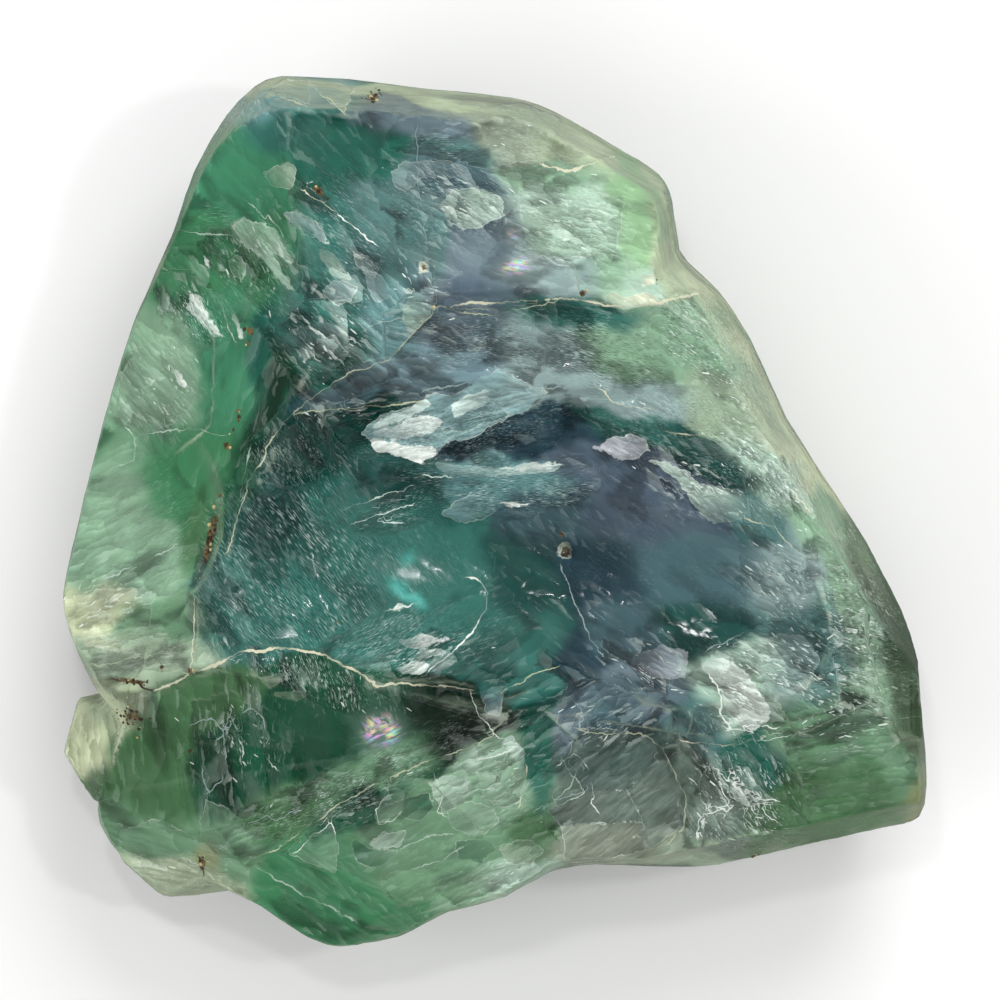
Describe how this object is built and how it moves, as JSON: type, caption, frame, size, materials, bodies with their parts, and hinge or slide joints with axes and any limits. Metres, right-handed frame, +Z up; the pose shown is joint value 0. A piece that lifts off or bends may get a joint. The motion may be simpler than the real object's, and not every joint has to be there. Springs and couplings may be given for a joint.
{
  "type": "fluorite specimen",
  "caption": "Rough fluorite crystal chunk, sea green with purple bands, flat cleavage faces and a shell-shaped hollow, lying on its flat back.",
  "frame": {"origin": "middle of the outline's box, on the rest face", "axes": "+Z up from the rest face through the hollowed face, +Y towards the picture's upper edge, +X towards its right edge"},
  "size_m": [0.0862, 0.0872, 0.0424],
  "materials": {
    "fluorite": "clear to milky sea-green crystal with purple bands, cleavage faces glossy with frosted flakes"
  },
  "bodies": {
    "root": {"fluorite": "fluorite"}
  },
  "joints": []
}
